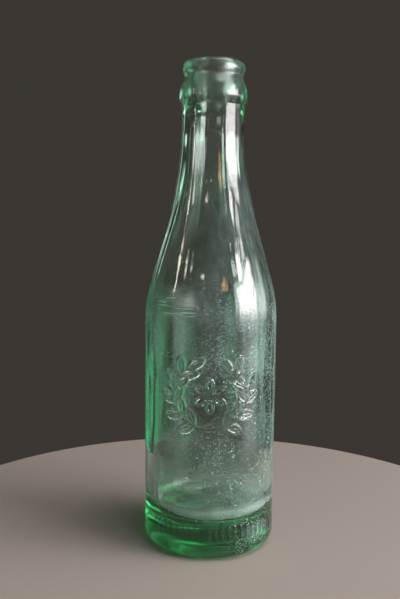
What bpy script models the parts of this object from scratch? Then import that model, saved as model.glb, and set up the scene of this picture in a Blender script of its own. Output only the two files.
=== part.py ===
"""A long-necked glass drinks bottle with a crown finish, empty and open.

The real bottle is blown in a mould as one piece of pale aqua glass, so the model is one solid:
an outer surface and an inner surface that meet at the mouth. Both are one turned outline.

Units are metres and +Z is up. The origin is on the bottle's axis, in the plane that it stands on.
"""

from math import acos, atan2, ceil, cos, pi, sin, tan

import bmesh
import bpy

MM = 0.001

# Body and neck, each a straight cylinder
BODY_RADIUS = 28.6 * MM
BODY_HEIGHT = 106.9 * MM
NECK_RADIUS = 12.95 * MM
NECK_LENGTH = 27.8 * MM

# Shoulder: a straight cone between the body and the neck, with a large rounding at both ends
SHOULDER_LENGTH = 54.1 * MM
SHOULDER_ROUNDING = 55.0 * MM
NECK_FOOT_ROUNDING = 182.0 * MM

# Base: a flat ring to stand on, a shallow push-up inside it and a round heel outside it
HEEL_RADIUS = 6.1 * MM
STANDING_RING_WIDTH = 2.2 * MM
STANDING_RING_EDGE = 0.8 * MM
PUSH_UP_HEIGHT = 3.5 * MM
PUSH_UP_SLOPE_WIDTH = 7.0 * MM
PUSH_UP_ROUNDING = 12.0 * MM

# Collar, the thick ring at the foot of the crown finish: a nearly upright band, then a taper
# up to the recess
COLLAR_STANDOUT = 1.65 * MM
COLLAR_UNDERSIDE_HEIGHT = 3.1 * MM
COLLAR_BAND_HEIGHT = 4.3 * MM
COLLAR_BAND_LEAN = 0.35 * MM
COLLAR_TAPER_HEIGHT = 4.5 * MM
COLLAR_FOOT_ROUNDING = 1.5 * MM
COLLAR_EDGE_ROUNDING = 2.0 * MM
COLLAR_SHOULDER_ROUNDING = 4.0 * MM

# Recess and lip, which a crown cap grips
RECESS_HEIGHT = 0.8 * MM
RECESS_ROUNDING = 1.2 * MM
LIP_RADIUS = 13.3 * MM
LIP_OVERHANG = 1.0 * MM
LIP_UNDERSIDE_HEIGHT = 2.0 * MM
LIP_HEIGHT = 3.9 * MM
LIP_UNDER_ROUNDING = 1.4 * MM
LIP_TOP_ROUNDING = 2.5 * MM

# Inside: the bore that the mouth tool leaves, then the blown neck, shoulder and body
BORE_RADIUS = 8.1 * MM
BORE_EDGE_ROUNDING = 1.0 * MM
BORE_FLARE_LENGTH = 12.0 * MM
BORE_FLARE_ROUNDING = 75.0 * MM
NECK_WALL = 3.0 * MM
BODY_WALL = 4.1 * MM
FLOOR_CENTRE_THICKNESS = 9.0 * MM
FLOOR_RIM_THICKNESS = 11.5 * MM
INNER_HEEL_ROUNDING = 9.0 * MM
FLOOR_CROWN_RADIUS = 9.0 * MM
FLOOR_CROWN_ROUNDING = 30.0 * MM

# Heights of the profile's corners above the standing ring
NECK_FOOT = BODY_HEIGHT + SHOULDER_LENGTH
COLLAR_FOOT = NECK_FOOT + NECK_LENGTH
COLLAR_EDGE = COLLAR_FOOT + COLLAR_UNDERSIDE_HEIGHT
COLLAR_SHOULDER = COLLAR_EDGE + COLLAR_BAND_HEIGHT
RECESS_FOOT = COLLAR_SHOULDER + COLLAR_TAPER_HEIGHT
RECESS_TOP = RECESS_FOOT + RECESS_HEIGHT
LIP_EDGE = RECESS_TOP + LIP_UNDERSIDE_HEIGHT
MOUTH = LIP_EDGE + LIP_HEIGHT

# Fineness of the faceted surface
SEGMENTS = 60
CHORD_ERROR = 0.05 * MM
MERGE_DISTANCE = 0.001 * MM
SHARP_ANGLE = pi / 4

GLASS_COLOUR = (0.60, 0.80, 0.70, 1.0)
GLASS_ROUGHNESS = 0.06
GLASS_IOR = 1.52


def outer_corners():
    """Corners (radius, height, rounding) of the outside, from the base's centre up to the lip."""
    ring_outer = BODY_RADIUS - HEEL_RADIUS
    ring_inner = ring_outer - STANDING_RING_WIDTH
    push_up_flat = ring_inner - PUSH_UP_SLOPE_WIDTH
    collar_radius = NECK_RADIUS + COLLAR_STANDOUT
    recess_radius = LIP_RADIUS - LIP_OVERHANG
    return [
        (0, PUSH_UP_HEIGHT, 0),
        (push_up_flat, PUSH_UP_HEIGHT, PUSH_UP_ROUNDING),
        (ring_inner, 0, STANDING_RING_EDGE),
        (BODY_RADIUS, 0, HEEL_RADIUS),
        (BODY_RADIUS, BODY_HEIGHT, SHOULDER_ROUNDING),
        (NECK_RADIUS, NECK_FOOT, NECK_FOOT_ROUNDING),
        (NECK_RADIUS, COLLAR_FOOT, COLLAR_FOOT_ROUNDING),
        (collar_radius, COLLAR_EDGE, COLLAR_EDGE_ROUNDING),
        (collar_radius - COLLAR_BAND_LEAN, COLLAR_SHOULDER, COLLAR_SHOULDER_ROUNDING),
        (recess_radius, RECESS_FOOT, RECESS_ROUNDING),
        (recess_radius, RECESS_TOP, RECESS_ROUNDING),
        (LIP_RADIUS, LIP_EDGE, LIP_UNDER_ROUNDING),
        (LIP_RADIUS, MOUTH, LIP_TOP_ROUNDING),
    ]


def inner_corners():
    """Corners of the inside, from the mouth down to the floor's centre."""
    inner_neck = NECK_RADIUS - NECK_WALL
    inner_body = BODY_RADIUS - BODY_WALL
    floor_centre = PUSH_UP_HEIGHT + FLOOR_CENTRE_THICKNESS
    return [
        (BORE_RADIUS, MOUTH, BORE_EDGE_ROUNDING),
        (BORE_RADIUS, COLLAR_FOOT, BORE_FLARE_ROUNDING),
        (inner_neck, COLLAR_FOOT - BORE_FLARE_LENGTH, BORE_FLARE_ROUNDING),
        (inner_neck, NECK_FOOT, NECK_FOOT_ROUNDING),
        (inner_body, BODY_HEIGHT, SHOULDER_ROUNDING),
        (inner_body, FLOOR_RIM_THICKNESS, INNER_HEEL_ROUNDING),
        (FLOOR_CROWN_RADIUS, floor_centre, FLOOR_CROWN_ROUNDING),
        (0, floor_centre, 0),
    ]


def run_between(start, end):
    """Heading angle and length of the straight run between two corners."""
    across = end[0] - start[0]
    up = end[1] - start[1]
    return atan2(up, across), (across * across + up * up) ** 0.5


def round_outline(corners):
    """Points of the outline, with each corner turned into an arc tangent to its two runs.

    Where the tangents of two neighbouring roundings don't fit in the run between them, both
    roundings shrink in proportion.
    """
    runs = [run_between(start, end) for start, end in zip(corners, corners[1:])]
    turns = [(after[0] - before[0] + pi) % (2 * pi) - pi for before, after in zip(runs, runs[1:])]
    tangents = [corner[2] * abs(tan(turn / 2)) for corner, turn in zip(corners[1:], turns)]
    needs = zip([0] + tangents, tangents + [0], runs)
    fits = [min(1, length / (first + second)) for first, second, (heading, length) in needs]
    points = [corners[0][:2]]
    for index, turn in enumerate(turns):
        across, up, rounding = corners[index + 1]
        fit = min(fits[index], fits[index + 1])
        radius = rounding * fit
        tangent = tangents[index] * fit
        heading = runs[index][0]
        side = 1 if turn > 0 else -1
        centre_across = across - tangent * cos(heading) - side * radius * sin(heading)
        centre_up = up - tangent * sin(heading) + side * radius * cos(heading)
        steps = ceil(abs(turn) / (2 * acos(1 - CHORD_ERROR / radius)))
        for step in range(steps + 1):
            angle = heading + turn * step / steps
            points.append((centre_across + side * radius * sin(angle), centre_up - side * radius * cos(angle)))
    points.append(corners[-1][:2])
    return points


def turned_mesh(name, outline):
    """Closed mesh of the outline turned once round Z, its faces pointing out of the glass."""
    bm = bmesh.new()
    verts = [bm.verts.new((radius, 0, height)) for radius, height in outline]
    edges = [bm.edges.new(pair) for pair in zip(verts, verts[1:])]
    bmesh.ops.spin(
        bm,
        geom=verts + edges,
        cent=(0, 0, 0),
        axis=(0, 0, 1),
        angle=2 * pi,
        steps=SEGMENTS,
        use_merge=True,
    )
    bmesh.ops.remove_doubles(bm, verts=bm.verts, dist=MERGE_DISTANCE)
    bmesh.ops.recalc_face_normals(bm, faces=bm.faces)
    mesh = bpy.data.meshes.new(name)
    bm.to_mesh(mesh)
    bm.free()
    mesh.shade_smooth()
    mesh.set_sharp_from_angle(angle=SHARP_ANGLE)
    return mesh


def aqua_glass():
    """Clear glass with the pale blue-green of iron in the sand."""
    material = bpy.data.materials.new("aqua_glass")
    material.use_nodes = True
    shader = material.node_tree.nodes["Principled BSDF"]
    shader.inputs["Base Color"].default_value = GLASS_COLOUR
    shader.inputs["Metallic"].default_value = 0.0
    shader.inputs["Roughness"].default_value = GLASS_ROUGHNESS
    shader.inputs["IOR"].default_value = GLASS_IOR
    shader.inputs["Transmission Weight"].default_value = 1.0
    return material


def build_bottle():
    """The bottle's one piece of glass, standing on the origin."""
    outline = round_outline(outer_corners() + inner_corners())
    mesh = turned_mesh("glass_bottle", outline)
    mesh.materials.append(aqua_glass())
    bottle = bpy.data.objects.new("glass_bottle", mesh)
    bpy.context.scene.collection.objects.link(bottle)
    return bottle


for old in list(bpy.data.objects):
    bpy.data.objects.remove(old, do_unlink=True)
build_bottle()
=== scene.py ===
"""A pale aqua glass drinks bottle with a crown finish: open, empty and worn by use.

Everything is in metres with +Z up. The bottle stands on the origin and its front faces -Y.
"""

from math import ceil, cos, pi, radians, sin

import bpy
import numpy as np
from mathutils import Matrix, Vector


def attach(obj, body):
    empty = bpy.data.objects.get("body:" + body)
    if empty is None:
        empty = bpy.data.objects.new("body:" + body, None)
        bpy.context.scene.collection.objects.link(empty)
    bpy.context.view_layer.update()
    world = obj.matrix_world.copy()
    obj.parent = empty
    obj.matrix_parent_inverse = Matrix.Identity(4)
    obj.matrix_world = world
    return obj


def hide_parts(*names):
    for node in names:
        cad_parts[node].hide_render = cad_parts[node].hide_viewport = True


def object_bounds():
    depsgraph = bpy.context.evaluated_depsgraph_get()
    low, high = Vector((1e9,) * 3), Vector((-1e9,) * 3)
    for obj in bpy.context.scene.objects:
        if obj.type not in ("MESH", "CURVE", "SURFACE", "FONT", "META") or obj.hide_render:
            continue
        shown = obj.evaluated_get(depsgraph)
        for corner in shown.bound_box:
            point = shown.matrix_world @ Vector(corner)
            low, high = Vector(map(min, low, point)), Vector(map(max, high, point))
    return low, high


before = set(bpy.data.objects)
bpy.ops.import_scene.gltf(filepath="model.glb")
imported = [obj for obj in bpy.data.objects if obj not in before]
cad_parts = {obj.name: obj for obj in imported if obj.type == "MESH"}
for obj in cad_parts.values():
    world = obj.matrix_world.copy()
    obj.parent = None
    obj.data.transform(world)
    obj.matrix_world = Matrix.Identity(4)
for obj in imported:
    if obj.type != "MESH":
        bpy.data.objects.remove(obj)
cad_low, cad_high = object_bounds()


# Camera
# It stands close in front of the bottle, level with the shoulder, and looks slightly down,
# so the mouth is seen from below and the base from above.
MM = 0.001
CAMERA_PLACE = Vector((0, -305.2 * MM, 135.2 * MM))
CAMERA_PITCH = radians(5.39)
CAMERA_YAW = radians(-0.91)
CAMERA_ROLL = radians(0.62)
CAMERA_NEAREST = 10 * MM
PICTURE_HEIGHT = 599
FOCAL_LENGTH = 700


def aimed_camera():
    """Camera whose axis is +Y turned by the yaw and the pitch, then rolled about that axis."""
    ahead = Vector((
        sin(CAMERA_YAW) * cos(CAMERA_PITCH),
        cos(CAMERA_YAW) * cos(CAMERA_PITCH),
        -sin(CAMERA_PITCH),
    ))
    level = ahead.cross(Vector((0, 0, 1))).normalized()
    upright = level.cross(ahead)
    right = level * cos(CAMERA_ROLL) + upright * sin(CAMERA_ROLL)
    up = upright * cos(CAMERA_ROLL) - level * sin(CAMERA_ROLL)
    data = bpy.data.cameras.new("camera")
    data.lens = FOCAL_LENGTH / PICTURE_HEIGHT * data.sensor_width
    data.clip_start = CAMERA_NEAREST
    camera = bpy.data.objects.new("camera", data)
    turn = Matrix((right, up, -ahead)).transposed().to_4x4()
    camera.matrix_world = Matrix.Translation(CAMERA_PLACE) @ turn
    bpy.context.scene.collection.objects.link(camera)
    return camera


bpy.context.scene.camera = aimed_camera()


# Glass
# The whole bottle is one piece of pale aqua glass, blown in a two-part mould whose wall gives it
# the wreath and the heel ribs. A ring tool presses its mouth. The base is a thick pad of glass.
BODY_RADIUS = cad_high.x
MOUTH = cad_high.z
BODY_HEIGHT = 106.9 * MM
NECK_RADIUS = 12.95 * MM
NECK_FOOT = 161.0 * MM
COLLAR_FOOT = 188.8 * MM
COLLAR_RADIUS = 14.6 * MM
COLLAR_TOP_RADIUS = 14.25 * MM
RECESS_RADIUS = 12.3 * MM
LIP_RADIUS = 13.3 * MM
BORE_RADIUS = 8.1 * MM
BORE_FLARE = 12 * MM
INNER_NECK = NECK_RADIUS - 3.0 * MM
INNER_BODY = BODY_RADIUS - 4.1 * MM
RING_RADIUS = 20.3 * MM
PUSH_UP_RADIUS = 13.3 * MM
PUSH_UP = 3.5 * MM
FLOOR_RIM = 11.5 * MM
FLOOR_CROWN_RADIUS = 9 * MM
FLOOR_CENTRE = 12.5 * MM
SHOULDER_ROUNDING = 55 * MM
NECK_FOOT_ROUNDING = 182 * MM
BORE_FLARE_ROUNDING = 75 * MM

# Corners of the outline, each with its radius, its height and its rounding
OUTSIDE = [
    (0, PUSH_UP, 0),
    (PUSH_UP_RADIUS, PUSH_UP, 12 * MM),
    (RING_RADIUS, 0, 0.8 * MM),
    (BODY_RADIUS, 0, 6.1 * MM),
    (BODY_RADIUS, BODY_HEIGHT, SHOULDER_ROUNDING),
    (NECK_RADIUS, NECK_FOOT, NECK_FOOT_ROUNDING),
    (NECK_RADIUS, COLLAR_FOOT, 1.5 * MM),
    (COLLAR_RADIUS, MOUTH - 15.5 * MM, 2 * MM),
    (COLLAR_TOP_RADIUS, MOUTH - 11.2 * MM, 4 * MM),
    (RECESS_RADIUS, MOUTH - 6.7 * MM, 1.2 * MM),
    (RECESS_RADIUS, MOUTH - 5.9 * MM, 1.2 * MM),
    (LIP_RADIUS, MOUTH - 3.9 * MM, 1.4 * MM),
    (LIP_RADIUS, MOUTH, 2.5 * MM),
]
INSIDE = [
    (BORE_RADIUS, MOUTH, 1 * MM),
    (BORE_RADIUS, COLLAR_FOOT, BORE_FLARE_ROUNDING),
    (INNER_NECK, COLLAR_FOOT - BORE_FLARE, BORE_FLARE_ROUNDING),
    (INNER_NECK, NECK_FOOT, NECK_FOOT_ROUNDING),
    (INNER_BODY, BODY_HEIGHT, SHOULDER_ROUNDING),
    (INNER_BODY, FLOOR_RIM, 9 * MM),
    (FLOOR_CROWN_RADIUS, FLOOR_CENTRE, 30 * MM),
    (0, FLOOR_CENTRE, 0),
]

# Wreath: its stems follow an ellipse, and a rosette stands inside it
WREATH_CENTRE = 70 * MM
WREATH_REACH = 17.5 * MM
WREATH_ANGLE = radians(46)
WREATH_STANDOUT = 0.5 * MM
STEM_ACROSS = 15.5 * MM
STEM_UP = 13.5 * MM
STEM_WIDTH = 0.6 * MM
STEM_END = radians(52)
KNOT_RADIUS = 1.5 * MM
LEAF_PLACES = np.radians([-66, -40, -14, 12, 38])
LEAF_LEAN = 0.75
TIP_PLACE = radians(55)
LEAF_LENGTH = 7.6 * MM
LEAF_WIDTH = 3.3 * MM
LEAF_EDGE = 0.58 * MM
MIDRIB_WIDTH = 0.42 * MM
MIDRIB_END = 0.8
MIDRIB_SHARE = 0.7
BLADE_SHARE = 0.3
BLADE_EDGE = 0.4 * MM
PETALS = 6
PETAL_FOOT = 1.8 * MM
PETAL_LENGTH = 5.4 * MM
PETAL_WIDTH = 2.8 * MM
PETAL_EDGE = 0.55 * MM
BUTTON_RADIUS = 1.3 * MM

# Ribs across the front of the heel, mould seams at the sides, parting line under the collar
RIBS = 64
RIB_FOOT = 9.5 * MM
RIB_TOP = 15.5 * MM
RIB_END = 0.9 * MM
RIB_STANDOUT = 0.45 * MM
RIB_BACK_POWER = 0.8
RIB_SPREAD = radians(74)
RIB_FADE = radians(16)
SEAM_STANDOUT = 0.12 * MM
SEAM_WIDTH = 0.35 * MM
SEAM_FOOT = 4 * MM
SEAM_TOP = MOUTH - 7 * MM
PARTING_HEIGHT = COLLAR_FOOT + 0.5 * MM
PARTING_STANDOUT = 0.08 * MM
PARTING_WIDTH = 0.32 * MM
PARTING_MEAN = 0.7
PARTING_UNEVENNESS = 0.2
PARTING_PAST_SIDES = 0.4

# Unevenness of blown and of tooled glass: how far each moves the surface, and the height over
# which it fades in
OUTER_WAVES = 0.03 * MM
OUTER_WAVES_TOP_FADE = 20 * MM
OUTER_WAVES_FOOT_FADE = 10 * MM
TOOL_MARKS = 0.030 * MM
TOOL_MARKS_FADE = 2 * MM
INNER_WAVES = 0.11 * MM
INNER_FADE = 8 * MM
WALL_STREAKS = 0.015 * MM
SHOULDER_STREAKS = 0.020 * MM
SHOULDER_STREAKS_FOOT = 100 * MM
SHOULDER_STREAKS_FADE = 15 * MM
SETTLING = 0.4 * MM
SETTLING_CENTRE = 127 * MM
SETTLING_LENGTH = 90 * MM
THIN_HEEL = 1.3 * MM
THIN_HEEL_TOP = 26 * MM
THIN_HEEL_FADE = 8 * MM
THIN_HEEL_TURN = 0.2

# Waves round the axis, each with its share, its count in a turn, its phase and the height over
# which that phase drifts by one radian
RIPPLE = (
    (1, 2, 0.7, 17 * MM),
    (0.6, 3, -1.9, -11 * MM),
    (0.4, 5, 2.2, 7 * MM),
    (0.2, 9, -0.4, -23 * MM),
)
DRAW_MARKS = (
    (1, 13, 3.1, 31 * MM),
    (0.7, 22, 0, -19 * MM),
    (0.5, 37, 1.0, 43 * MM),
)

# Taken off such a sum, so that it sinks the outside and hardly ever raises it
SINK = 2

# Where the waves are used again they are turned, and drift faster, so that no two line up
PARTING_TURN = 1.1
TOOL_TURN = 0.4
TOOL_DRIFT = 3
INNER_TURN = 1.3
INNER_DRIFT = 1.6

# Fineness of the mesh
FINE_STEP = 0.05 * MM
ROWS_PER_BEND = 0.21
WIDEST_ROWS = 3.2 * MM
CLOSEST_ROWS = 0.2 * MM
WREATH_ROWS = 0.33 * MM
RIB_ROWS = 0.5 * MM
PARTING_ROWS = 0.13 * MM
COLUMNS_PER_RIB = 4
MARGIN = 1 * MM
WALL_MARGIN = 0.3 * MM


def rounded_outline(corners):
    """Points (radius, height) in fine steps along the outline, and the radius of the bend at each.

    Every corner becomes an arc tangent to both runs. Where two arcs need more than the run
    between them, both shrink in proportion.
    """
    corners = np.array(corners, float)
    runs = np.diff(corners[:, :2], axis=0)
    lengths = np.hypot(runs[:, 0], runs[:, 1])
    headings = np.arctan2(runs[:, 1], runs[:, 0])
    turns = (np.diff(headings) + pi) % (2 * pi) - pi
    tangents = np.zeros(len(corners))
    tangents[1:-1] = corners[1:-1, 2] * np.abs(np.tan(turns / 2))
    fits = np.minimum(1, lengths / (tangents[:-1] + tangents[1:]))
    shrink = np.ones(len(corners))
    shrink[1:-1] = np.minimum(fits[:-1], fits[1:])
    tangents *= shrink
    radii = corners[:, 2] * shrink
    points, bends = [], []
    for i, (length, heading) in enumerate(zip(lengths, headings)):
        along = np.array([cos(heading), sin(heading)])
        straight = length - tangents[i] - tangents[i + 1]
        if straight > FINE_STEP:
            steps = np.linspace(0, straight, ceil(straight / FINE_STEP), endpoint=False)
            points.append(corners[i, :2] + (tangents[i] + steps[:, None]) * along)
            bends.append(np.full(len(steps), np.inf))
        if i < len(turns):
            side = np.sign(turns[i])
            radius = radii[i + 1]
            start = corners[i + 1, :2] - along * tangents[i + 1]
            centre = start + side * radius * np.array([-sin(heading), cos(heading)])
            count = ceil(abs(turns[i]) * radius / FINE_STEP) + 3
            angle = heading + np.linspace(0, turns[i], count, endpoint=False)
            points.append(centre + side * radius * np.stack([np.sin(angle), -np.cos(angle)], 1))
            bends.append(np.full(count, radius))
    points.append(corners[-1:, :2])
    bends.append([np.inf])
    return np.concatenate(points), np.concatenate(bends)


def spread_rows(points, bends):
    """Rows (radius, height, 1 outside or 0 inside) picked along the outline.

    They lie a fifth of the bend's radius apart, closer across the wreath, the ribs and the
    parting line.
    """
    radius, height = points.T
    outside = np.arange(len(points)) <= np.argmax(height)
    spacing = np.minimum(WIDEST_ROWS, np.maximum(bends * ROWS_PER_BEND, CLOSEST_ROWS))
    wall = outside & (radius > BODY_RADIUS - MARGIN)
    spacing[wall & (np.abs(height - WREATH_CENTRE) < WREATH_REACH)] = WREATH_ROWS
    spacing[wall & (height > RIB_FOOT - MARGIN) & (height < RIB_TOP + MARGIN)] = RIB_ROWS
    spacing[outside & (np.abs(height - PARTING_HEIGHT) < 1.5 * PARTING_WIDTH)] = PARTING_ROWS
    step = np.hypot(*np.diff(points, axis=0).T)
    passed = np.concatenate([[0], np.cumsum(step / spacing[:-1])])
    wanted = np.linspace(0, passed[-1], ceil(passed[-1]) + 1)
    return np.stack([np.interp(wanted, passed, part) for part in (radius, height, outside)], 1)


def column_angles():
    """Angles round the axis from the back, closer across the wreath and at the two mould seams."""
    count = RIBS * COLUMNS_PER_RIB
    half = pi / count
    even = np.arange(count) * 2 * half - pi
    between = even[np.abs(even + half) < WREATH_ANGLE] + half
    beside = np.array([-1, -0.5, 0.5, 1]) * SEAM_WIDTH / BODY_RADIUS
    return np.sort(np.concatenate([even, between, beside - pi / 2, beside + pi / 2]))


def share_between(value, start, end):
    """Share from 0 to 1 that a value has covered on its way from the start to the end."""
    return np.clip((value - start) / (end - start), 0, 1)


def ridge(gap, half_width):
    """Height share of a ridge at a distance from its crest: half an ellipse across."""
    return np.sqrt(np.clip(1 - (gap / half_width) ** 2, 0, 1))


def leaf_gap(u, v, foot, heading, length, width):
    """Signed distance to a leaf's edge: the edge is two equal arcs that meet at its foot and tip."""
    middle = foot + 0.5 * length * np.array([cos(heading), sin(heading)])
    along = np.abs((u - middle[0]) * cos(heading) + (v - middle[1]) * sin(heading))
    across = np.abs((v - middle[1]) * cos(heading) - (u - middle[0]) * sin(heading))
    half = length / 2
    set_back = (half ** 2 - (width / 2) ** 2) / width
    radius = set_back + width / 2
    past_tip = (along - half) * set_back > across * half
    return np.where(
        past_tip,
        np.hypot(across, along - half),
        np.hypot(across + set_back, along) - radius,
    )


def leaf(u, v, foot, heading):
    """Height share of a leaf: a ridge along its edge, a finer one along its midrib, a low blade."""
    gap = leaf_gap(u, v, foot, heading, LEAF_LENGTH, LEAF_WIDTH)
    along = (u - foot[0]) * cos(heading) + (v - foot[1]) * sin(heading)
    across = (v - foot[1]) * cos(heading) - (u - foot[0]) * sin(heading)
    beyond = np.maximum(np.maximum(-along, along - MIDRIB_END * LEAF_LENGTH), 0)
    midrib = MIDRIB_SHARE * ridge(np.hypot(across, beyond), MIDRIB_WIDTH)
    blade = BLADE_SHARE * share_between(gap, 0, -BLADE_EDGE)
    return np.maximum(np.maximum(ridge(gap, LEAF_EDGE), midrib), blade)


def wreath(u, v):
    """Height share of the mould's ornament at arc length u and height v from its centre.

    Two branches follow an ellipse up from a knot, with leaves in pairs along them and one at
    each tip, round a rosette of petals with a button in the middle.
    """
    reach = np.hypot(u / STEM_ACROSS, v / STEM_UP)
    slope = np.hypot(u / STEM_ACROSS ** 2, v / STEM_UP ** 2)
    gap = reach * (reach - 1) / np.maximum(slope, 1e-9)
    turn = np.arctan2(v / STEM_UP, np.abs(u) / STEM_ACROSS)
    raised = ridge(gap, STEM_WIDTH) * (turn < STEM_END)
    pairs = [(place, (LEAF_LEAN, -LEAF_LEAN)) for place in LEAF_PLACES]
    for side in (1, -1):
        for place, leans in pairs + [(TIP_PLACE, (0,))]:
            foot = np.array([side * STEM_ACROSS * cos(place), STEM_UP * sin(place)])
            heading = np.arctan2(STEM_UP * cos(place), -side * STEM_ACROSS * sin(place))
            for lean in leans:
                raised = np.maximum(raised, leaf(u, v, foot, heading + lean))
    raised = np.maximum(raised, ridge(np.hypot(u, v + STEM_UP) - KNOT_RADIUS, STEM_WIDTH))
    for petal in np.arange(PETALS) * 2 * pi / PETALS + pi / PETALS:
        foot = PETAL_FOOT * np.array([cos(petal), sin(petal)])
        gap = leaf_gap(u, v, foot, petal, PETAL_LENGTH, PETAL_WIDTH)
        raised = np.maximum(raised, ridge(gap, PETAL_EDGE))
    return np.maximum(raised, ridge(np.hypot(u, v), BUTTON_RADIUS))


def wave_sum(waves, angle, height):
    """Sum of sines of the angle round the axis, whose phases drift with height."""
    return sum(
        share * np.sin(count * angle + phase + height / drift)
        for share, count, phase, drift in waves
    )


def outer_relief(angle, radius, height):
    """How far the outside stands proud of the plain turned shape, as a sum of these.

    The wreath; ribs, each half a cosine with a blunt back, that fade out before the sides; two
    seams, each a low parabola across; slow waves below the collar; the shallow marks that the
    ring tool leaves all round the mouth; and a fine uneven line where that tool met the mould.
    """
    across = angle * BODY_RADIUS
    up = height - WREATH_CENTRE
    wall = radius > BODY_RADIUS - WALL_MARGIN
    near = wall & (np.abs(up) < WREATH_REACH) & (np.abs(angle) < WREATH_ANGLE)
    raised = np.zeros_like(angle)
    raised[near] = WREATH_STANDOUT * wreath(across[near], up[near])
    rib = np.clip(np.cos(RIBS * angle), 0, 1) ** RIB_BACK_POWER
    ends = np.clip(np.minimum(height - RIB_FOOT, RIB_TOP - height) / RIB_END, 0, 1)
    front = share_between(np.abs(angle), RIB_SPREAD, RIB_SPREAD - RIB_FADE)
    raised += wall * RIB_STANDOUT * front * rib * np.sqrt(ends)
    seam = np.clip(1 - (np.abs(angle) - pi / 2) ** 2 * (radius / SEAM_WIDTH) ** 2, 0, 1)
    raised += SEAM_STANDOUT * seam * (height > SEAM_FOOT) * (height < SEAM_TOP)
    blown = share_between(height, COLLAR_FOOT, COLLAR_FOOT - OUTER_WAVES_TOP_FADE)
    blown = blown * share_between(height, 0, OUTER_WAVES_FOOT_FADE)
    raised += OUTER_WAVES * blown * (wave_sum(RIPPLE, angle, height) - SINK)
    parting = np.clip(1 - ((height - PARTING_HEIGHT) / PARTING_WIDTH) ** 2, 0, 1)
    uneven = PARTING_MEAN + PARTING_UNEVENNESS * wave_sum(DRAW_MARKS, angle + PARTING_TURN, 0)
    uneven = uneven * np.clip(np.cos(angle) + PARTING_PAST_SIDES, 0, 1)
    raised += PARTING_STANDOUT * parting * uneven * (radius > NECK_RADIUS - MARGIN)
    pressed = share_between(height, COLLAR_FOOT, COLLAR_FOOT + TOOL_MARKS_FADE)
    pressed = pressed * share_between(radius, BORE_RADIUS, 2 * BORE_RADIUS)
    tooled = wave_sum(DRAW_MARKS, angle + TOOL_TURN, TOOL_DRIFT * height)
    return raised + TOOL_MARKS * pressed * (tooled - SINK)


def inner_drift(angle, radius, height):
    """How far the inside wanders from the plain turned shape, because no mould touches it.

    Slow waves, streaks that are stronger above the body, and one slow wave up the wall, which is
    thick near the top of the shoulder and thin at its foot. The heel is thinner at the right.
    """
    blown = share_between(height, COLLAR_FOOT, COLLAR_FOOT - INNER_FADE)
    blown = blown * share_between(radius, 0, INNER_NECK) ** 2
    slow = INNER_WAVES * wave_sum(RIPPLE, angle + INNER_TURN, INNER_DRIFT * height)
    drawn = share_between(height, SHOULDER_STREAKS_FOOT, SHOULDER_STREAKS_FOOT + SHOULDER_STREAKS_FADE)
    streaks = (WALL_STREAKS + SHOULDER_STREAKS * drawn) * wave_sum(DRAW_MARKS, angle, height)
    from_centre = np.clip(height - SETTLING_CENTRE, -SETTLING_LENGTH / 2, SETTLING_LENGTH / 2)
    settled = SETTLING * np.sin(2 * pi * from_centre / SETTLING_LENGTH)
    heel = share_between(height, THIN_HEEL_TOP, THIN_HEEL_TOP - THIN_HEEL_FADE)
    heel = heel * share_between(radius, 0, INNER_BODY) ** 2
    thinned = THIN_HEEL * heel * np.clip(np.sin(angle - THIN_HEEL_TURN), 0, 1)
    return blown * (slow + streaks + settled) - thinned


def turned_grid(rows, angles, lift):
    """Grid of points: each row is turned round Z and moved out of the glass by its relief and lift."""
    slope = np.gradient(rows[:, :2], axis=0)
    slope /= np.hypot(slope[:, 0], slope[:, 1])[:, None]
    radius, height, outside = (rows[:, k:k + 1] + 0 * angles for k in (0, 1, 2))
    angle = angles + 0 * radius
    relief = outer_relief(angle, radius, height)
    raised = np.where(outside > 0.5, relief, inner_drift(angle, radius, height))
    raised[rows[:, 0] < MARGIN] = 0
    raised = raised + lift
    radius = radius + raised * slope[:, 1:]
    height = height - raised * slope[:, :1]
    return np.stack([radius * np.sin(angle), -radius * np.cos(angle), height], -1)


def grid_mesh(name, grid, poles):
    """Piece made of a grid that closes round its columns, with fans from its end rows to the poles."""
    rows, columns = grid.shape[:2]
    index = np.arange(rows * columns).reshape(rows, columns)
    after = np.roll(index, -1, axis=1)
    quads = np.stack([index[:-1], after[:-1], after[1:], index[1:]], -1).reshape(-1, 4)
    points = grid.reshape(-1, 3)
    corners = [quads.ravel()]
    sizes = [np.full(len(quads), 4)]
    for end, height in poles:
        rim = [after[0], index[0]] if end == 0 else [index[-1], after[-1]]
        corners.append(np.stack([np.full(columns, len(points))] + rim, 1).ravel())
        sizes.append(np.full(columns, 3))
        points = np.vstack([points, [[0, 0, height]]])
    corners, sizes = np.concatenate(corners), np.concatenate(sizes)
    mesh = bpy.data.meshes.new(name)
    mesh.vertices.add(len(points))
    mesh.vertices.foreach_set("co", points.astype(np.float32).ravel())
    mesh.loops.add(len(corners))
    mesh.loops.foreach_set("vertex_index", corners.astype(np.int32))
    mesh.polygons.add(len(sizes))
    mesh.polygons.foreach_set("loop_start", (np.cumsum(sizes) - sizes).astype(np.int32))
    mesh.update(calc_edges=True)
    mesh.validate()
    mesh.shade_smooth()
    piece = bpy.data.objects.new(name, mesh)
    bpy.context.scene.collection.objects.link(piece)
    return piece


def node(tree, kind, sockets=None, **settings):
    """Shader node with its settings, each socket fed by an output or set to a value."""
    made = tree.nodes.new(kind)
    for setting, value in settings.items():
        setattr(made, setting, value)
    for socket, value in (sockets or {}).items():
        if isinstance(value, bpy.types.NodeSocket):
            tree.links.new(value, made.inputs[socket])
        else:
            made.inputs[socket].default_value = value
    return made


def own_place(tree):
    """Place on the piece, in its own coordinates."""
    return node(tree, "ShaderNodeTexCoord").outputs["Object"]


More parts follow.
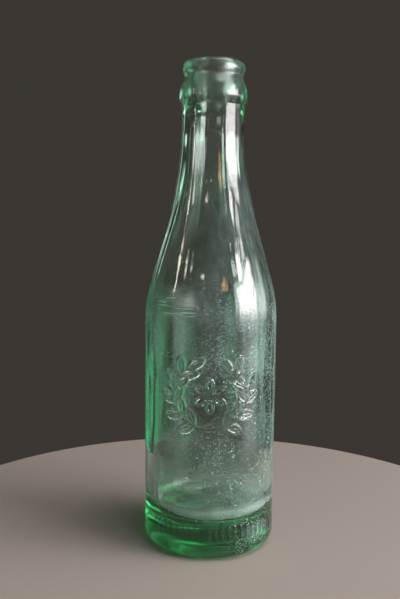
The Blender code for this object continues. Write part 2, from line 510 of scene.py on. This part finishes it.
def own_axes(tree):
    """Place on the piece by axis, in metres: X to the right, Y to the back and Z up."""
    return node(tree, "ShaderNodeSeparateXYZ", {"Vector": own_place(tree)}).outputs


def ramp(tree, value, low, high, to_low=0.0, to_high=1.0):
    """Value remapped smoothly, so that low gives to_low and high gives to_high."""
    sockets = {"Value": value, "From Min": low, "From Max": high, "To Min": to_low, "To Max": to_high}
    return node(tree, "ShaderNodeMapRange", sockets, interpolation_type="SMOOTHSTEP").outputs["Result"]


def combine(tree, operation, first, second):
    """Two outputs, or an output and a number, put through a math node."""
    return node(tree, "ShaderNodeMath", {0: first, 1: second}, operation=operation).outputs[0]


def product(tree, *factors):
    """Product of outputs and numbers, one after the other."""
    result = factors[0]
    for factor in factors[1:]:
        result = combine(tree, "MULTIPLY", result, factor)
    return result


def stretched_noise(tree, stretch, size, detail):
    """Noise on the piece's own coordinates, in grains of a size in metres, stretched per axis."""
    scale = [1 / (size * factor) for factor in stretch]
    mapped = node(tree, "ShaderNodeMapping", {"Vector": own_place(tree), "Scale": scale})
    sockets = {"Vector": mapped.outputs["Vector"], "Scale": 1.0, "Detail": detail}
    return node(tree, "ShaderNodeTexNoise", sockets).outputs["Fac"]


def new_material(name):
    """Material, with its node tree and its main shader."""
    material = bpy.data.materials.new(name)
    material.use_nodes = True
    return material, material.node_tree, material.node_tree.nodes["Principled BSDF"]


GLASS_IOR = 1.52
IRON_COLOUR = (0.0, 0.88, 0.45, 1)
IRON_DENSITY = 34.0
CLEAR = (1, 1, 1, 1)
HEEL_GREEN = (0.16, 0.82, 0.44, 1)
CLEAN_ROUGHNESS = 0.015
WORN_ROUGHNESS = 0.06
HEEL_ROUGHNESS = 0.16
FINISH_ROUGHNESS = 0.18
RUBBED_ROUGHNESS = 0.18
BUMP_HEIGHT = 0.2 * MM
DRAW_LINE_SHARE = 0.22

# Noise patterns: stretch per axis, size of the grains, detail. Their limits are where each starts
# and where it is full, and what it gives there
DRAW_LINES = ((1, 1, 30), 2.2 * MM, 2.0)
SLOW_WAVES = ((1, 1, 2.5), 7.5 * MM, 1.0)
HAZE_CLOUDS = ((1, 1, 1.6), 16 * MM, 5.0)
HAZE_CLOUD_LIMITS = (0.34, 0.64, 0.15, 1.0)
HAZE_WIPES = ((1, 1, 16), 1.6 * MM, 2.0)
HAZE_WIPE_LIMITS = (0.3, 0.75, 0.45, 1.0)

# Heights where each of these begins and where it is full
HEEL_GREEN_SPAN = (20 * MM, 10 * MM)
SCUFFED_SPAN = (9.5 * MM, 5.5 * MM)
FINISH_SPAN = (187 * MM, 196 * MM)
BLOWN_SPAN = (194 * MM, 186 * MM)
RUBBED_FOOT = (96 * MM, 103 * MM)
RUBBED_TOP = (115 * MM, 110 * MM)
BELT_TOP = (112 * MM, 100 * MM)
BELT_FOOT = (66 * MM, 86 * MM)
WALL_FOOT = (16 * MM, 26 * MM)

# The same as places across the bottle, and the shares of haze that stay outside the belt
RUBBED_RIGHT = (2 * MM, -6 * MM)
HAZE_RIGHT = (-4 * MM, 18 * MM)
BELOW_BELT = 0.33
BELOW_WALL = 0.03
HAZE_AT_LEFT = 0.8

# Thinner hazes on the shoulder and on the finish, each with its foot, its top and its share
THIN_HAZES = ((90 * MM, 168 * MM, 0.32), (187 * MM, 250 * MM, 0.35))
THIN_HAZE_RISE = 12 * MM
THIN_HAZE_FALL = 20 * MM
THIN_HAZE_ABOVE = 0.1


def worn_glass_group():
    """Node group: an amount that goes from Clean to Worn where the outside is dulled.

    Wear clouds a belt under the shoulder, where bottles rub in the crate, and less of the wall
    below. It is thin on the shoulder and the finish, heavier on the right, and spares the neck
    and the ribs. Clouds and fine upright wipes break it up.
    """
    tree = bpy.data.node_groups.new("worn_glass", "ShaderNodeTree")
    for name, side in (("Clean", "INPUT"), ("Worn", "INPUT"), ("Amount", "OUTPUT")):
        tree.interface.new_socket(name, in_out=side, socket_type="NodeSocketFloat")
    given = node(tree, "NodeGroupInput").outputs
    axes = own_axes(tree)
    height = axes["Z"]
    cover = product(
        tree,
        ramp(tree, height, *BELT_TOP),
        ramp(tree, height, *BELT_FOOT, BELOW_BELT, 1.0),
        ramp(tree, height, *WALL_FOOT, BELOW_WALL, 1.0),
    )
    for foot, top, share in THIN_HAZES:
        rise = ramp(tree, height, foot, foot + THIN_HAZE_RISE)
        fall = ramp(tree, height, top, top - THIN_HAZE_FALL, THIN_HAZE_ABOVE, 1.0)
        cover = combine(tree, "MAXIMUM", cover, product(tree, rise, fall, share))
    cover = product(tree, cover, ramp(tree, axes["X"], *HAZE_RIGHT, HAZE_AT_LEFT, 1.0))
    clouds = ramp(tree, stretched_noise(tree, *HAZE_CLOUDS), *HAZE_CLOUD_LIMITS)
    wipes = ramp(tree, stretched_noise(tree, *HAZE_WIPES), *HAZE_WIPE_LIMITS)
    spread = combine(tree, "SUBTRACT", given["Worn"], given["Clean"])
    amount = combine(tree, "ADD", product(tree, cover, clouds, wipes, spread), given["Clean"])
    node(tree, "NodeGroupOutput", {"Amount": amount})
    return tree


def worn_amount(tree, clean, worn):
    """Output of the wear group, placed in a material with its own values."""
    sockets = {"Clean": clean, "Worn": worn}
    return node(tree, "ShaderNodeGroup", sockets, node_tree=worn_glass).outputs["Amount"]


def aqua_glass():
    """Glass whose colour comes from its depth: iron takes out red most, then blue, then green.

    The thick base is greener still. The bumps are draw lines up the wall and slow waves, and the
    tooled mouth has none. Caps and openers dulled the mouth, crates rubbed the left side under
    the shoulder, and the heel is scuffed matt from standing on shelves.
    """
    material, tree, shader = new_material("aqua_glass")
    shader.inputs["IOR"].default_value = GLASS_IOR
    shader.inputs["Transmission Weight"].default_value = 1.0
    axes = own_axes(tree)
    height = axes["Z"]
    sockets = {"Factor": ramp(tree, height, *HEEL_GREEN_SPAN), "A": CLEAR, "B": HEEL_GREEN}
    tint = node(tree, "ShaderNodeMix", sockets, data_type="RGBA")
    tree.links.new(tint.outputs["Result"], shader.inputs["Base Color"])
    scuffed = ramp(tree, height, *SCUFFED_SPAN, 0.0, HEEL_ROUGHNESS)
    dulled = ramp(tree, height, *FINISH_SPAN, 0.0, FINISH_ROUGHNESS)
    rubbed = product(
        tree,
        ramp(tree, height, *RUBBED_TOP),
        ramp(tree, height, *RUBBED_FOOT, 0.0, RUBBED_ROUGHNESS),
        ramp(tree, axes["X"], *RUBBED_RIGHT),
    )
    roughness = worn_amount(tree, CLEAN_ROUGHNESS, WORN_ROUGHNESS)
    for extra in (scuffed, dulled, rubbed):
        roughness = combine(tree, "ADD", roughness, extra)
    tree.links.new(roughness, shader.inputs["Roughness"])
    lines = product(tree, stretched_noise(tree, *DRAW_LINES), DRAW_LINE_SHARE)
    waves = stretched_noise(tree, *SLOW_WAVES)
    raised = product(tree, combine(tree, "ADD", lines, waves), ramp(tree, height, *BLOWN_SPAN))
    bump = node(tree, "ShaderNodeBump", {"Height": raised, "Strength": 1.0, "Distance": BUMP_HEIGHT})
    tree.links.new(bump.outputs["Normal"], shader.inputs["Normal"])
    depth = node(tree, "ShaderNodeVolumeAbsorption", {"Color": IRON_COLOUR, "Density": IRON_DENSITY})
    tree.links.new(depth.outputs["Volume"], tree.nodes["Material Output"].inputs["Volume"])
    return material


worn_glass = worn_glass_group()
rows = spread_rows(*rounded_outline(OUTSIDE + INSIDE))[1:-1]
angles = column_angles()
bottle = grid_mesh("bottle_glass", turned_grid(rows, angles, 0), [(0, PUSH_UP), (-1, FLOOR_CENTRE)])
bottle.data.materials.append(aqua_glass())
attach(bottle, "root")
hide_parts("glass_bottle")


# Wear outside
# Crates, washing and years in the ground leave a pale bloom, chips as fine as dust and case
# scratches on the outside. They are a film that hugs the glass.
WEAR_LIFT = 0.04 * MM
WEAR_COLOUR = (0.54, 0.80, 0.75, 1)
WEAR_ROUGHNESS = 0.4
HEEL_COVERED = 4 * MM
BASE_HEIGHT = 20 * MM
BLOOM_COVER = 0.30
DUST_CELL = 0.8 * MM
DUST_SIZE = 0.27 * MM
DUST_SHARE = 0.9
DUST_COVER = 0.5
CHIP_CELL = 3.0 * MM
CHIP_SIZE = 0.38 * MM
CHIP_SHARE = 0.5
CHIP_COVER = 0.75
DOT_CORE = 0.6
DUST_PATCHES = ((1, 1, 1), 12 * MM, 3.0)
DUST_PATCH_LIMITS = (0.36, 0.60, 0.5, 0.9)
FEW_ABOVE = (130 * MM, 90 * MM)
FEW_ABOVE_SHARE = 0.22
FEW_BELOW = (12 * MM, 22 * MM)
FEW_BELOW_SHARE = 0.25
HEEL_SPECKS_RIGHT = (2 * MM, 13 * MM)
SCRATCHES = ((7, 7, 0.22), 1.6 * MM, 1.0)
SCRATCH_LIMITS = (0.55, 0.64, 0.0, 0.7)
SCRATCH_EDGES = (
    ("Z", 100 * MM, 103 * MM),
    ("Z", 111.5 * MM, 108 * MM),
    ("X", -25 * MM, -19 * MM),
    ("X", -3 * MM, -10 * MM),
)
FROST_COVER = 0.16
FROST_EDGES = (
    ("X", 12 * MM, 21 * MM),
    ("X", 27 * MM, 21 * MM),
    ("Z", 5 * MM, 10 * MM),
    ("Z", 16 * MM, 12.5 * MM),
)


def dots(tree, cell, size, share, cover):
    """Cover of round dots scattered in space: a share of the points of a cell pattern have one."""
    cells = node(tree, "ShaderNodeTexVoronoi", {"Vector": own_place(tree), "Scale": 1 / cell}).outputs
    near = ramp(tree, cells["Distance"], size / cell, DOT_CORE * size / cell)
    picked = node(tree, "ShaderNodeSeparateColor", {"Color": cells["Color"]}).outputs["Red"]
    return product(tree, near, combine(tree, "LESS_THAN", picked, share), cover)


def patch(tree, axes, edges):
    """Mask that is 1 inside all its edges, each an axis, the place where it is 0 and where it is 1."""
    return product(tree, *(ramp(tree, axes[axis], none, full) for axis, none, full in edges))


def outer_wear():
    """Pale film that covers as much as its bloom and its marks together.

    The marks are dust and chips, few on the shoulder and on the left of the heel, a patch of level
    case scratches at the left and a frosted patch on the heel at the right.
    """
    material, tree, shader = new_material("outer_wear")
    shader.inputs["Base Color"].default_value = WEAR_COLOUR
    shader.inputs["Roughness"].default_value = WEAR_ROUGHNESS
    axes = own_axes(tree)
    patches = ramp(tree, stretched_noise(tree, *DUST_PATCHES), *DUST_PATCH_LIMITS)
    dust = product(tree, dots(tree, DUST_CELL, DUST_SIZE, DUST_SHARE, DUST_COVER), patches)
    chips = dots(tree, CHIP_CELL, CHIP_SIZE, CHIP_SHARE, CHIP_COVER)
    above = ramp(tree, axes["Z"], *FEW_ABOVE, FEW_ABOVE_SHARE, 1.0)
    below = ramp(tree, axes["Z"], *FEW_BELOW, FEW_BELOW_SHARE, 1.0)
    below = combine(tree, "MAXIMUM", below, ramp(tree, axes["X"], *HEEL_SPECKS_RIGHT))
    specks = product(tree, combine(tree, "MAXIMUM", chips, dust), above, below)
    strokes = ramp(tree, stretched_noise(tree, *SCRATCHES), *SCRATCH_LIMITS)
    scratches = product(tree, strokes, patch(tree, axes, SCRATCH_EDGES))
    frost = product(tree, patch(tree, axes, FROST_EDGES), FROST_COVER)
    marks = combine(tree, "MAXIMUM", combine(tree, "MAXIMUM", specks, scratches), frost)
    cover = combine(tree, "ADD", marks, worn_amount(tree, 0.0, BLOOM_COVER))
    tree.links.new(cover, shader.inputs["Alpha"])
    return material


# The base stays bare: the film starts on the rounding of the heel
off_the_base = (rows[:, 0] > BODY_RADIUS - HEEL_COVERED) | (rows[:, 1] > BASE_HEIGHT)
outer_rows = rows[(rows[:, 2] > 0.5) & off_the_base]
film = grid_mesh("outer_wear", turned_grid(outer_rows, angles, WEAR_LIFT), [])
film.data.materials.append(outer_wear())
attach(film, "root")


# Residue and painted highlight inside
# What was last in the bottle dried to a pale line round the edge of its floor and a thin dusty
# veil above it. The line also paints the bright reflection that the curved edge of the floor gives,
# stronger at the front. Both lie on the glass as a film.
# The line's pale colour is partly dried residue and partly a painted highlight on the floor's edge
RESIDUE_AND_HIGHLIGHT_COLOUR = (0.93, 1.0, 0.99, 1)
RESIDUE_ROUGHNESS = 0.9
RESIDUE_TOP = 80 * MM
LINE_FOOT = (14.5 * MM, 16.5 * MM)
LINE_TOP = (23.5 * MM, 19.5 * MM)
# The line is fainter at the back, where the painted highlight of the floor's edge does not show
LINE_FRONT = (10 * MM, -12 * MM)
LINE_AT_BACK = 0.25
LINE_BREAKS = ((1, 1, 0.4), 4 * MM, 4.0)
LINE_BREAK_LIMITS = (0.3, 0.55, 0.75, 1.0)
VEIL_SPAN = (70 * MM, 20 * MM)
VEIL_COVER = 0.14
VEIL_CLOUDS = ((1, 1, 1.5), 10 * MM, 4.0)
VEIL_CLOUD_LIMITS = (0.4, 0.65)


def residue_and_highlight():
    """Pale film inside: a broken line at the floor's edge, residue and painted highlight, and thin
    clouds up the wall.
    """
    material, tree, shader = new_material("residue_and_highlight")
    shader.inputs["Base Color"].default_value = RESIDUE_AND_HIGHLIGHT_COLOUR
    shader.inputs["Roughness"].default_value = RESIDUE_ROUGHNESS
    axes = own_axes(tree)
    height = axes["Z"]
    broken = ramp(tree, stretched_noise(tree, *LINE_BREAKS), *LINE_BREAK_LIMITS)
    front = ramp(tree, axes["Y"], *LINE_FRONT, LINE_AT_BACK, 1.0)
    # Pale line round the floor's edge: dried residue and a painted highlight, strongest at the front
    line = product(tree, ramp(tree, height, *LINE_FOOT), ramp(tree, height, *LINE_TOP), front, broken)
    clouds = ramp(tree, stretched_noise(tree, *VEIL_CLOUDS), *VEIL_CLOUD_LIMITS)
    veil = product(tree, ramp(tree, height, *VEIL_SPAN, 0.0, VEIL_COVER), clouds)
    tree.links.new(combine(tree, "ADD", line, veil), shader.inputs["Alpha"])
    return material


inner_rows = rows[(rows[:, 2] < 0.5) & (rows[:, 1] < RESIDUE_TOP)]
floor_pole = [(-1, FLOOR_CENTRE + WEAR_LIFT)]
residue_and_highlight_film = grid_mesh("residue_and_highlight", turned_grid(inner_rows, angles[::2], WEAR_LIFT), floor_pole)
residue_and_highlight_film.data.materials.append(residue_and_highlight())
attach(residue_and_highlight_film, "root")


# Stage
# A round pale table top stands in front of a plain grey backdrop. Soft lamps light it: a large
# window at the right, weaker cards at the left and behind, and a few small warm bulbs.
TABLE_RADIUS = 150 * MM
TABLE_THICKNESS = 8 * MM
TABLE_SIDES = 128
TABLE_COLOUR = (0.32, 0.29, 0.255, 1)
TABLE_ROUGHNESS = 0.6
BACKDROP = (0.044, 0.038, 0.033, 1)
LAMP_AIM = Vector((0, 0, 110 * MM))

# A ray has passed the whole bottle once it has gone through four surfaces of its walls
WHOLE_BOTTLE = 3.5
NO_REFLECTION = 0.5


def pale_table():
    """Disc whose top lies in the standing plane."""
    turn = np.linspace(0, 2 * pi, TABLE_SIDES, endpoint=False)
    rim = TABLE_RADIUS * np.stack([np.cos(turn), np.sin(turn), 0 * turn], 1)
    foot = rim - [0, 0, TABLE_THICKNESS]
    faces = [tuple(range(TABLE_SIDES))]
    for i in range(TABLE_SIDES):
        after = (i + 1) % TABLE_SIDES
        faces.append((i, i + TABLE_SIDES, after + TABLE_SIDES, after))
    mesh = bpy.data.meshes.new("table")
    mesh.from_pydata(np.vstack([rim, foot]).tolist(), [], faces)
    table = bpy.data.objects.new("table", mesh)
    bpy.context.scene.collection.objects.link(table)
    material, _, shader = new_material("pale_table")
    shader.inputs["Base Color"].default_value = TABLE_COLOUR
    shader.inputs["Roughness"].default_value = TABLE_ROUGHNESS
    mesh.materials.append(material)
    return table


def soft_lamp(name, azimuth, elevation, distance, size, radiance, colour, fades, through):
    """Lamp that faces the bottle from an azimuth, 0 at the front and 90 at the right.

    It dims towards its left, right, lower and upper edge over the given shares of its size. Through
    is the share of it that shows where a ray has passed the whole bottle without a reflection.
    """
    toward = Vector((
        sin(radians(azimuth)) * cos(radians(elevation)),
        -cos(radians(azimuth)) * cos(radians(elevation)),
        sin(radians(elevation)),
    ))
    data = bpy.data.lights.new(name, "AREA")
    data.shape = "RECTANGLE"
    data.size, data.size_y = size
    data.energy = radiance * pi * size[0] * size[1]
    data.color = colour
    lamp = bpy.data.objects.new(name, data)
    turn = (-toward).to_track_quat("-Z", "Y").to_matrix().to_4x4()
    lamp.matrix_world = Matrix.Translation(LAMP_AIM + toward * distance) @ turn
    lamp.visible_camera = False
    bpy.context.scene.collection.objects.link(lamp)
    data.use_nodes = True
    tree = data.node_tree
    spot = node(tree, "ShaderNodeNewGeometry").outputs["Parametric"]
    across = node(tree, "ShaderNodeSeparateXYZ", {"Vector": spot}).outputs
    left, right, lower, upper = fades
    edges = (("X", 0, left), ("X", 1, 1 - right), ("Y", 0, lower), ("Y", 1, 1 - upper))
    strength = product(tree, *(ramp(tree, across[axis], low, high) for axis, low, high in edges))
    ray = node(tree, "ShaderNodeLightPath").outputs
    passed = combine(tree, "GREATER_THAN", ray["Transmission Depth"], WHOLE_BOTTLE)
    unbent = product(tree, passed, combine(tree, "LESS_THAN", ray["Glossy Depth"], NO_REFLECTION))
    strength = product(tree, strength, ramp(tree, unbent, 0, 1, 1.0, through))
    tree.links.new(strength, tree.nodes["Emission"].inputs["Strength"])
    return lamp


pale_table()
DAYLIGHT = (1, 0.94, 0.95)
WARM = (1, 0.93, 0.82)
EVEN = (0.3, 0.3, 0.3, 0.3)
WIDE = (0.45, 0.45, 0.45, 0.45)
soft_lamp("window", 69.5, 6.8, 0.9, (0.70, 0.54), 15, DAYLIGHT, (0.04, 0.15, 0.45, 0.05), 0.08)
soft_lamp("window_top", 59, 25.9, 0.9, (0.165, 0.075), 19, DAYLIGHT, (0.15, 0.25, 0.1, 0.3), 0.08)
soft_lamp("window_corner", 73, 25.7, 0.9, (0.11, 0.07), 10, DAYLIGHT, (0.2, 0.2, 0.1, 0.3), 0.08)
soft_lamp("skylight", 73, 41, 0.9, (0.12, 0.5), 7, DAYLIGHT, (0.3, 0.3, 0.2, 0.2), 0.1)
soft_lamp("side_window", 108, 5, 0.9, (0.58, 0.42), 4, DAYLIGHT, (0.1, 0.7, 0.35, 0.3), 0.1)
soft_lamp("lower_glow", 72, -16, 0.9, (0.80, 0.40), 1.4, DAYLIGHT, (0.45, 0.3, 0.5, 0.3), 0.3)
soft_lamp("left_window", -38, 10.5, 0.9, (0.42, 0.20), 5.5, DAYLIGHT, WIDE, 0.1)
soft_lamp("left_card", -45, -11, 0.9, (0.80, 0.48), 1.2, (0.42, 1, 0.70), WIDE, 0.3)
soft_lamp("left_side", -142, 12, 0.9, (0.30, 0.30), 1.25, (0.7, 1, 0.85), EVEN, 0.1)
soft_lamp("key", 60, 66, 0.9, (0.8, 0.5), 6.5, DAYLIGHT, (0.2, 0.2, 0.2, 0.2), 0.3)
soft_lamp("front_fill", -5, 10, 1.3, (2.2, 1.3), 0.10, (1, 1, 1), EVEN, 1.0)
soft_lamp("left_bulb", -72, 20, 1.0, (0.05, 0.28), 22, (1, 0.88, 0.74), (0.3, 0.3, 0.2, 0.2), 0.1)
soft_lamp("front_bulb", -17, 27.8, 1.0, (0.16, 0.03), 11, WARM, EVEN, 0.1)
soft_lamp("side_bulb", -57, 25, 1.0, (0.07, 0.05), 16, WARM, EVEN, 0.1)
soft_lamp("right_bulb", 25, 23.5, 1.0, (0.20, 0.12), 7, (1, 0.58, 0.26), (0.4, 0.4, 0.3, 0.3), 0.1)
soft_lamp("left_edge_glow", -154, -14, 0.8, (0.50, 0.6), 0.55, (0.1, 1, 0.42), (0.9, 0.3, 0.2, 0.6), 1.0)
soft_lamp("right_edge_glow", 156, -8, 0.8, (0.40, 0.6), 0.35, (0.75, 1, 0.88), (0.3, 0.8, 0.3, 0.5), 1.0)

world = bpy.data.worlds.new("studio")
world.use_nodes = True
world.node_tree.nodes["Background"].inputs["Color"].default_value = BACKDROP
bpy.context.scene.world = world
bpy.context.scene.view_settings.view_transform = "Standard"
bpy.context.scene.cycles.transparent_max_bounces = 24
bpy.context.scene.cycles.transmission_bounces = 20
bpy.context.scene.cycles.max_bounces = 20
